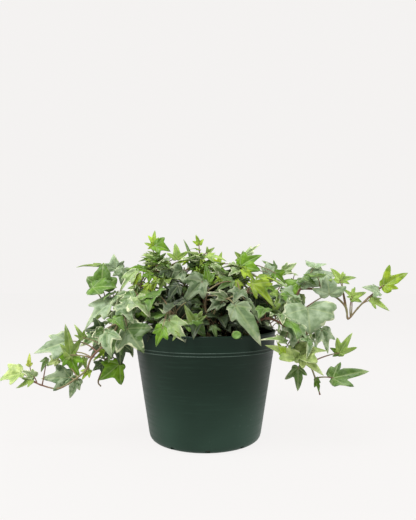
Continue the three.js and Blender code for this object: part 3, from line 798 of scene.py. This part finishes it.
def routePoint(route, at):
    spot = min(max(at, 0), 1) * (len(route) - 1)
    index = min(int(spot), len(route) - 2)
    part = spot - index
    first, second = metres(route[index]), metres(route[index + 1])
    before = metres(route[index - 1]) if index else first * 2 - second
    after = metres(route[index + 2]) if index + 2 < len(route) else second * 2 - first
    slopeFirst, slopeSecond = (second - before) / 2, (after - first) / 2
    square, cube = part ** 2, part ** 3
    return (first * (2 * cube - 3 * square + 1) + slopeFirst * (cube - 2 * square + part)
            + second * (3 * square - 2 * cube) + slopeSecond * (cube - square))


def stalkRoot(route, heart):
    steps = 60
    near = min(range(6, steps + 1), key=lambda i: (routePoint(route, i / steps) - heart).length)
    return min(0.985, max(0.1, (near - 2) / steps))


# the deeper a leaf is inside the plant, the less light it gets
def shadeAt(heart):
    beside = math.hypot(heart.x, heart.y) / shadeSettings["radius"]
    above = (heart.z - shadeSettings["foot"]) / shadeSettings["rise"]
    return min(1, max(shadeSettings["least"], max(beside, above) ** shadeSettings["power"]))


def newLeaf(heart, tip, face, look, at, seed, **others):
    usual = {"width": 1, "fine": False, "shade": shadeAt(heart), "soft": 1}
    place = {"heart": heart, "tip": tip, "face": face, "at": at}
    return {**usual, **place, "look": look, "seed": seed, **others}


def namedLeaves(vine, seed):
    leaves = []
    for index, (heart, tip, face, look, width, *start) in enumerate(vine["leaves"]):
        at = start[0] if start else stalkRoot(vine["route"], metres(heart))
        leaves.append(newLeaf(metres(heart), metres(tip), Vector(face), look, at, seed + index * 3,
                              width=width, fine=True))
    return leaves


def fillerLeaves(vine, seed):
    route = vine["route"]
    count, low, high = vine["fill"]
    limits = fillerSettings
    leaves = []
    for index in range(count):
        own = seed + 500 + index * 7
        at = between(low, high, (index + 0.5) / count)
        root = routePoint(route, at)
        tangent = (routePoint(route, at + 0.01) - routePoint(route, at - 0.01)).normalized()
        side = tangent.cross(up).normalized() * (1 if index % 2 else -1)
        outward = Vector((root.x, root.y, 0)).normalized()
        hold = side + up * within(limits["stalkRise"], own) + outward * within(limits["stalkOut"], own + 1)
        length = within(limits["stalk"], own + 2) * (1.1 - 0.5 * at) * mm
        heart = root + hold.normalized() * length
        crown = heart.z > crownFoot
        sink = within(limits["crownSink" if crown else "lowSink"], own + 3)
        reach = side * 0.7 + outward * within(limits["tipOut"], own + 10) + up * sink
        size = within(limits["size"], own + 4) * (1.15 - 0.4 * at) * mm
        lean = within(limits["crownLean" if crown else "lowLean"], own + 5)
        face = up + outward * lean + side * within(limits["sideLean"], own + 6)
        leaves.append(newLeaf(heart, heart + reach.normalized() * size, face,
                              fillerLook(heart, share(own + 8)), at, own,
                              width=within(limits["width"], own + 9),
                              soft=limits["crownSoftness"] if crown else 1))
    return leaves


# shaded leaves low inside the plant are dark, the outer ones are light, the top ones brightest
def fillerLook(heart, pick):
    if heart.z > crownFoot:
        return crownLooks[int(pick * len(crownLooks))]
    limits = fillerSettings
    beside = math.hypot(heart.x, heart.y) / limits["lookRadius"]
    depth = beside + (heart.z - limits["lookFoot"]) / limits["lookRise"]
    looks = outerLooks if depth > limits["outerFrom"] + limits["outerBlur"] * (pick - 0.5) else innerLooks
    return looks[int(pick * len(looks))]


# low leaves on long stalks close to the soil, which close the plant's heart
def basalLeaves(vine, seed):
    limits = basalSettings
    leaves = []
    for index in range(limits["count"]):
        own = seed + 700 + index * 9
        at = within(limits["at"], own)
        root = routePoint(vine["route"], at)
        turn = 2 * math.pi * share(own + 1)
        reach = within(limits["reach"], own + 2) * mm
        heart = Vector((root.x + reach * math.cos(turn), root.y + reach * math.sin(turn), 0))
        distance = math.hypot(heart.x, heart.y)
        if distance > limits["radius"]:
            heart *= limits["radius"] / distance
        heart.z = within(limits["height"], own + 3) * mm
        outward = Vector((heart.x, heart.y, 0)).normalized()
        along = outward + Vector((math.cos(turn), math.sin(turn), within(limits["sink"], own + 4)))
        size = within(limits["size"], own + 5) * mm
        look = innerLooks[int(share(own + 7) * len(innerLooks))]
        leaves.append(newLeaf(heart, heart + along.normalized() * size, up + outward * share(own + 6),
                              look, at, own, shade=limits["shade"]))
    return leaves


# a flat round mesh of spokes and rings
def newDisc(spokes, rings, radius):
    bm = bmesh.new()
    bmesh.ops.create_circle(bm, cap_ends=True, cap_tris=True, segments=spokes, radius=radius)
    inner = [edge for edge in bm.edges if not edge.is_boundary]
    bmesh.ops.subdivide_edges(bm, edges=inner, cuts=rings - 1)
    return bm


# blanks copied for each leaf: the leaves with their own place take the finer one
plainBlank = meshFrom(newDisc(leafSettings["spokes"], 2, 1), "leafBlank")
fineBlank = meshFrom(newDisc(leafSettings["spokes"], 4, 1), "leafBlank")


def outlineAt(turn, outline, seed):
    half = leafSettings["spokes"] // 2
    sideStart, baseStart, notchStart = lobeStarts
    degrees, radius = leafOutlines[outline][min(half, round(abs(turn) / (math.pi / half)))]
    side = 1 if turn > 0 else 2
    spread = within(leafVariety["lobeTurn"], seed + 10 + side) if 0 < degrees < notchStart else 1
    if sideStart < degrees < baseStart:
        radius *= within(leafVariety["sideLobe"], seed + 12 + side)
    if baseStart < degrees < notchStart:
        radius *= within(leafVariety["baseLobe"], seed + 15 + side)
    return math.copysign(math.radians(degrees * spread), turn), radius


# how a leaf is bent: each takes its own share of fold, droop, twist and curl, and a leaf of
# less softness stays flatter
def leafBend(seed, soft):
    return {
        "fold": leafSettings["fold"] * within(leafVariety["fold"], seed + 1),
        "droop": soft * leafSettings["droop"] * within(leafVariety["droop"], seed + 2),
        "lean": within(leafVariety["lean"], seed + 3),
        "sideDroop": soft * within(leafVariety["sideDroop"], seed + 4),
        "twist": soft * within(leafVariety["twist"], seed + 7),
        "curl": soft * within(leafVariety["curl"], seed + 8),
        "phase": seed,
    }


def bentHeight(x, y, turn, ring, bend):
    curled = max(0, math.hypot(x, y) - leafSettings["curlFrom"])
    pleat = -leafSettings["pleat"] * math.cos(turn * leafSettings["pleats"]) * ring
    wave = leafSettings["wave"] * math.sin(turn * leafSettings["waves"] + bend["phase"]) * ring ** 2
    return (bend["fold"] * abs(x) - bend["droop"] * y * abs(y) - bend["sideDroop"] * x * x
            + bend["twist"] * x * y - bend["curl"] * curled ** 2 + pleat + wave)


def addBlade(bm, layers, leaf):
    tint, cream, marble, outline = leafLooks[leaf["look"]]
    seed = leaf["seed"]
    along = leaf["tip"] - leaf["heart"]
    size = along.length
    along.normalize()
    facing = (leaf["face"] - along * leaf["face"].dot(along)).normalized()
    turnTo = Matrix((along.cross(facing), along, facing)).transposed()
    start = len(bm.verts)
    bm.from_mesh(fineBlank if leaf["fine"] else plainBlank)
    bm.verts.ensure_lookup_table()
    bend = leafBend(seed, leaf["soft"])
    brightness = within(leafVariety["brightness"], seed + 5)
    tint = [channel * brightness for channel in tint]
    for vert in bm.verts[start:]:
        ring = vert.co.length
        turn = math.atan2(vert.co.x, vert.co.y)
        angle, radius = outlineAt(turn, outline, seed)
        radius *= ring * (1 + 0.05 * math.sin(seed * 3.1 + turn * 3) * ring)
        flatX, flatY = math.sin(angle) * radius, math.cos(angle) * radius
        wide = flatX * leaf["width"]
        height = bentHeight(wide, flatY, angle, ring, bend)
        place = Vector((wide + bend["lean"] * flatY ** 2, flatY, height)) * size
        vert.co = leaf["heart"] + turnTo @ place
        vert[layers["edge"]] = ring
        vert[layers["cream"]] = cream * within(leafVariety["cream"], seed + 6)
        vert[layers["marble"]] = marble
        vert[layers["shade"]] = leaf["shade"]
        vert[layers["tint"]] = (*tint, 1)
        vert[layers["spot"]] = Vector((flatX, flatY, seed % 97))


# veins run from the stalk down the middle of each lobe: degrees from the midrib, half width
leafVeins = [(0, 0.02), (53, 0.016), (108, 0.013)]


def veinMask(tree, x, y):
    veins = None
    for degrees, width in leafVeins:
        sine, cosine = math.sin(math.radians(degrees)), math.cos(math.radians(degrees))
        off = calc(tree, "ABSOLUTE", minus(tree, times(tree, x, cosine), times(tree, y, sine)))
        ahead = plus(tree, times(tree, x, sine), times(tree, y, cosine))
        line = times(tree, fade(tree, off, width * 1.6, width * 0.5), fade(tree, ahead, -0.02, 0.03))
        veins = line if veins is None else calc(tree, "MAXIMUM", veins, line)
    branch = times(tree, plus(tree, y, times(tree, x, -0.9)), 5.5)
    branch = calc(tree, "ABSOLUTE", minus(tree, calc(tree, "FRACT", branch), 0.5))
    return calc(tree, "MAXIMUM", veins, times(tree, fade(tree, branch, 0.09, 0.02), 0.3))


def leafMaterial(name, lighten):
    material, tree, shader = newMaterial(name)
    place = objectPlace(tree)
    spot = attribute(tree, "spot", "Vector")
    parts = addNode(tree, "ShaderNodeSeparateXYZ", None, {0: spot})
    net = veinMask(tree, calc(tree, "ABSOLUTE", parts.outputs[0]), parts.outputs[1])
    edge = attribute(tree, "edge")
    broad = noiseOf(tree, place, 120, 3, 0.6)
    patches = noiseOf(tree, spot, 4.2, 2, 0.5)
    fine = noiseOf(tree, place, 650, 4, 0.65)
    tint = attribute(tree, "tint", "Color")
    deep = mixColours(tree, 1.0, tint, leafSettings["deep"], "MULTIPLY")
    colour = mixColours(tree, fade(tree, broad, 0.35, 0.65), deep, tint)
    outer = plus(tree, patches, times(tree, edge, 0.22))
    marbled = times(tree, attribute(tree, "marble"), fade(tree, outer, 0.58, 0.68, 0, 0.75))
    colour = mixColours(tree, marbled, colour, leafSettings["grey"])
    cream = attribute(tree, "cream")
    reach = plus(tree, edge, times(tree, cream, 0.13))
    reach = plus(tree, reach, times(tree, minus(tree, patches, 0.5), 0.7))
    strength = calc(tree, "MULTIPLY", cream, 1.6, clamp=True)
    margin = times(tree, fade(tree, reach, 1.00, 1.06), strength)
    colour = mixColours(tree, margin, colour, leafSettings["cream"])
    colour = mixColours(tree, times(tree, net, leafSettings["veinStrength"]), colour, leafSettings["vein"])
    colour = mixColours(tree, lighten, colour, leafSettings["underside"])
    colour = mixColours(tree, 1.0, colour, attribute(tree, "shade"), "MULTIPLY")
    rough = fade(tree, fine, 0.3, 0.7, 0.38, 0.52)
    relief = minus(tree, times(tree, fine, 0.5), times(tree, net, 0.7))
    setSurface(tree, shader, colour, rough, relief, leafSettings["bump"], leafSettings["specular"])
    return material


def stemMaterial(name, young, old, scale):
    material, tree, shader = newMaterial(name)
    place = objectPlace(tree)
    patch = noiseOf(tree, place, scale, 4, 0.6)
    fine = noiseOf(tree, place, 1500, 2)
    colour = mixColours(tree, fade(tree, patch, 0.38, 0.62), old, young)
    rough = fade(tree, fine, 0.3, 0.7, 0.5, 0.65)
    setSurface(tree, shader, colour, rough, plus(tree, patch, fine), stemSettings["bump"])
    return material


leafStuff = leafMaterial("ivyLeaf", 0.0)
leafBackStuff = leafMaterial("ivyLeafUnderside", leafSettings["undersideShare"])
stemStuff = stemMaterial("ivyStem", (0.21, 0.19, 0.08), (0.16, 0.075, 0.042), 60)
stalkStuff = stemMaterial("ivyStalk", (0.24, 0.27, 0.09), (0.2, 0.115, 0.06), 45)


def makeLeaves(name, leaves):
    bm = bmesh.new()
    kinds = bm.verts.layers
    layers = {key: kinds.float.new(key) for key in ("edge", "cream", "marble", "shade")}
    layers["tint"] = kinds.float_color.new("tint")
    layers["spot"] = kinds.float_vector.new("spot")
    for leaf in leaves:
        addBlade(bm, layers, leaf)
    mesh = meshFrom(bm, name + "_leaves", leafStuff, leafBackStuff)
    piece = addPiece(name + "_leaves", mesh, [name])
    wall = piece.modifiers.new("thickness", "SOLIDIFY")
    wall.thickness = leafSettings["thickness"]
    wall.offset = -1
    wall.material_offset = 1
    wall.material_offset_rim = 0


def addSpline(curve, points, radii, materialIndex):
    line = curve.splines.new("POLY")
    line.points.add(len(points) - 1)
    for spot, place, radius in zip(line.points, points, radii):
        spot.co = (*place, 1)
        spot.radius = radius
    line.material_index = materialIndex
    line.use_smooth = True


def stalkPoints(route, leaf):
    root = routePoint(route, leaf["at"])
    along = (leaf["tip"] - leaf["heart"]).normalized()
    end = leaf["heart"] + along * stemSettings["stalkOverlap"]
    reach = (end - root).length
    bow = up * stemSettings["stalkArch"] - along * stemSettings["stalkBack"]
    middle = root.lerp(end, 0.5) + bow * reach
    points = []
    for step in range(stemSettings["stalkSteps"] + 1):
        t = step / stemSettings["stalkSteps"]
        points.append(root * (1 - t) ** 2 + middle * 2 * t * (1 - t) + end * t * t)
    return points


def newTube(name):
    curve = bpy.data.curves.new(name, "CURVE")
    curve.dimensions = "3D"
    curve.bevel_depth = 1
    curve.bevel_resolution = 2
    curve.use_fill_caps = True
    return curve


def addTube(curve, name, materials, node):
    mesh = bakedMesh(addObject("tube", curve), name, materials)
    addPiece(name, mesh, [node])


# the stem swells a little at each route point, where a leaf joint would be
def makeStem(name, route, leaves):
    curve = newTube(name)
    steps = stemSettings["steps"]
    count = (len(route) - 1) * steps
    points = [routePoint(route, i / count) for i in range(count + 1)]
    radii = []
    for index in range(count + 1):
        taper = between(stemSettings["radius"], stemSettings["tipRadius"], index / count)
        radii.append(taper * (1 if index % steps else stemSettings["swelling"]))
    addSpline(curve, points, radii, 0)
    for leaf in leaves:
        stalk = stalkPoints(route, leaf)
        size = (leaf["tip"] - leaf["heart"]).length / stemSettings["usualLeaf"]
        thick = stemSettings["stalkRadius"] * between(0.75, 1.15, min(1, size))
        last = len(stalk) - 1
        taper = [thick * between(*stemSettings["stalkTaper"], i / last) for i in range(last + 1)]
        addSpline(curve, stalk, taper, 1)
    addTube(curve, name + "_stem", [stemStuff, stalkStuff], name)


leafTotal = 0
for number, (name, vine) in enumerate(vines.items()):
    seed = 40 + number * 113
    leaves = namedLeaves(vine, seed) + fillerLeaves(vine, seed) + basalLeaves(vine, seed)
    leafTotal += len(leaves)
    makeStem(name, vine["route"], leaves)
    makeLeaves(name, leaves)
print("vines done:", len(vines), "vines,", leafTotal, "leaves")


# seedling: a round leaf on a thin stalk at the front rim
seedlingSettings = {
    "route": [(24, -60, 104), (25, -66, 115), (27, -74, 122.5), (29.2, -79, 121)],
    "radius": 4.4 * mm,
    "centre": (29.4, -79.5, 120),
    "cup": 1.2 * mm,
    "thickness": 0.4 * mm,
    "tilt": 78,
    "stalkRadius": 0.6 * mm,
    "stalkSteps": 18,
}


def makeSeedling(settings):
    bm = newDisc(24, 3, settings["radius"])
    for vert in bm.verts:
        reach = vert.co.length / settings["radius"]
        vert.co.z = settings["cup"] * reach ** 2
        vert.co.y *= 0.85
    bmesh.ops.solidify(bm, geom=bm.faces[:], thickness=settings["thickness"])
    rotate(bm, bm.verts, math.radians(settings["tilt"]), "X")
    bmesh.ops.translate(bm, verts=bm.verts, vec=metres(settings["centre"]))
    mesh = meshFrom(bm, "seedling_leaf", plainGrain("seedlingLeaf"))
    addPiece("seedling_leaf", mesh, ["seedling"])


def makeSeedlingStalk(settings):
    curve = newTube("seedlingStalk")
    steps = settings["stalkSteps"]
    points = [routePoint(settings["route"], i / steps) for i in range(steps + 1)]
    addSpline(curve, points, [settings["stalkRadius"]] * len(points), 0)
    addTube(curve, "seedling_stalk", [stalkStuff], "seedling")


makeSeedling(seedlingSettings)
makeSeedlingStalk(seedlingSettings)
print("seedling done")


# floor and light
studioSettings = {
    "floorColour": (0.035, 0.0345, 0.034),
    "floorGlow": 0.975,
    "floorRadius": 9,
    "worldColour": (0.905, 0.89, 0.88),
    "worldFront": 0.34,
    "worldBack": 0.62,
    "aim": (0, 0, 0.12),
    "lamps": [  # name, place, size, power
        ("topLamp", (-0.3, -0.62, 1.32), 0.75, 19),
        ("leftLamp", (-1.1, -0.2, 0.4), 0.7, 9),
        ("rightLamp", (1.1, -0.2, 0.4), 0.7, 8),
        ("backLamp", (0.1, 0.9, 1.2), 0.9, 4),
    ],
}


def makeFloor(settings):
    bm = bmesh.new()
    bmesh.ops.create_circle(bm, cap_ends=True, segments=96, radius=settings["floorRadius"])
    material, tree, shader = newMaterial("studioFloor")
    looks = {
        "Base Color": settings["floorColour"],
        "Roughness": 0.9,
        "Specular IOR Level": 0.0,
        "Emission Color": settings["worldColour"],
        "Emission Strength": settings["floorGlow"],
    }
    for key, value in looks.items():
        setSocket(tree, shader.inputs[key], value)
    addObject("studio_floor", meshFrom(bm, "studio_floor", material))


# the backdrop is seen evenly bright, while its light is soft and weakest from the front
def makeWorld(settings):
    world = bpy.data.worlds.new("studio")
    bpy.context.scene.world = world
    world.use_nodes = True
    tree = world.node_tree
    background = tree.nodes["Background"]
    background.inputs["Color"].default_value = (*settings["worldColour"], 1)
    direction = addNode(tree, "ShaderNodeTexCoord").outputs["Generated"]
    depth = addNode(tree, "ShaderNodeSeparateXYZ", None, {0: direction}).outputs[1]
    light = fade(tree, depth, -0.9, 0.1, settings["worldFront"], settings["worldBack"])
    seen = addNode(tree, "ShaderNodeLightPath").outputs["Is Camera Ray"]
    tree.links.new(calc(tree, "MAXIMUM", light, seen), background.inputs["Strength"])


def makeLamps(settings):
    for name, place, size, power in settings["lamps"]:
        data = bpy.data.lights.new(name, "AREA")
        data.size = size
        data.energy = power
        lamp = addObject(name, data)
        lamp.location = place
        aim = Vector(settings["aim"]) - Vector(place)
        lamp.rotation_euler = aim.to_track_quat("-Z", "Y").to_euler()


makeFloor(studioSettings)
makeWorld(studioSettings)
makeLamps(studioSettings)
bpy.context.scene.view_settings.view_transform = "Standard"
print("studio done")
